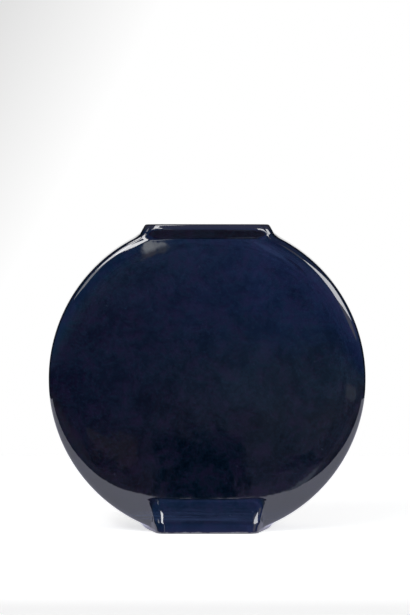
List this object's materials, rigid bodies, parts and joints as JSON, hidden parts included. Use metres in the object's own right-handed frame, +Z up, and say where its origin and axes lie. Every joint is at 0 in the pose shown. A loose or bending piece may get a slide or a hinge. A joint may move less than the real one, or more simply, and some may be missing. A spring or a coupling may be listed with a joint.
{
  "type": "moon flask vase",
  "caption": "Upright disc-shaped earthenware vase with a low slot-mouthed neck and a low coved foot, glazed deep navy.",
  "frame": {"origin": "on the table, under the middle of the foot", "axes": "+Z up, +X along the disc's width, -Y towards the viewer of the front face"},
  "size_m": [0.3, 0.0882, 0.287],
  "materials": {
    "navy_glaze": "deep navy glaze, very glossy, with slight pooling and pinholes",
    "fired_clay": "bare fired earthenware, matte"
  },
  "bodies": {
    "root": {"front_shell": "navy_glaze", "back_shell": "navy_glaze", "neck_collar": "navy_glaze", "foot_ring": "navy_glaze", "base_slab": "fired_clay", "seam_coil_left": "fired_clay", "seam_coil_right": "fired_clay"}
  },
  "joints": []
}
